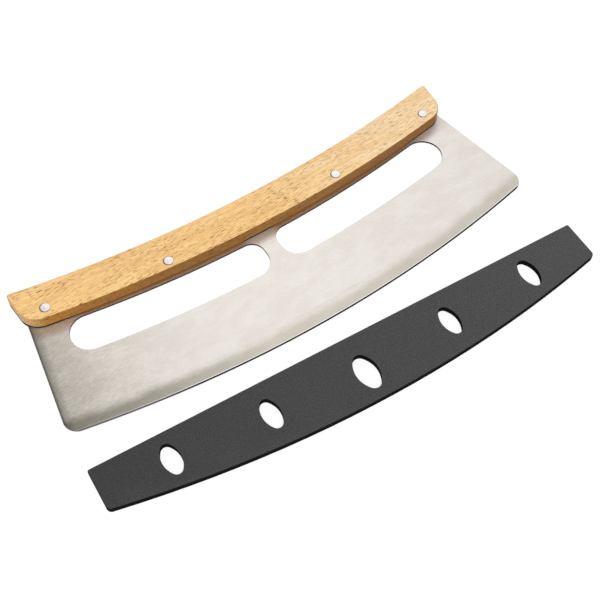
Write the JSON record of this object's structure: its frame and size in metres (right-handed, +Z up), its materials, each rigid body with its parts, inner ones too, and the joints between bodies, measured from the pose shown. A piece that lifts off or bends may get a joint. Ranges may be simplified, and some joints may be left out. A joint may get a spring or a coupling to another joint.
{
  "type": "rocking pizza knife",
  "caption": "Long rocking pizza knife with a curved blade, finger slots and a riveted wooden handle along its back, shown beside its slip-on plastic blade guard.",
  "frame": {"origin": "middle of the footprint on the table: x and y halfway across the knife and the guard together, z at the underside of the guard and of the rivets' back heads", "axes": "+X along the knife, from the left end to the right one; +Y from the cutting edge to the handle; +Z up, out of the wooden side of the handle"},
  "size_m": [0.3608, 0.1914, 0.0135],
  "materials": {
    "steel": "satin, brushed across the blade, ground bevel and honed edge",
    "wood": "light oiled hardwood, grain along the handle",
    "rivet_metal": "ground flush and polished",
    "guard_plastic": "moulded, fine matt texture"
  },
  "bodies": {
    "knife": {"blade": "steel", "handle_scale": "wood", "rivet_left_end": "rivet_metal", "rivet_left_middle": "rivet_metal", "rivet_right_middle": "rivet_metal", "rivet_right_end": "rivet_metal", "rivet_back_left_end": "rivet_metal", "rivet_back_left_middle": "rivet_metal", "rivet_back_right_middle": "rivet_metal", "rivet_back_right_end": "rivet_metal"},
    "guard": {"guard": "guard_plastic"}
  },
  "joints": [
    {"name": "guard_path", "type": "hinge", "parent": "knife", "child": "guard", "pos_m": [-1.23224, 0.00062, 0.0024], "axis": [0, 0, 1], "range_deg": [0, 2.94]}
  ]
}
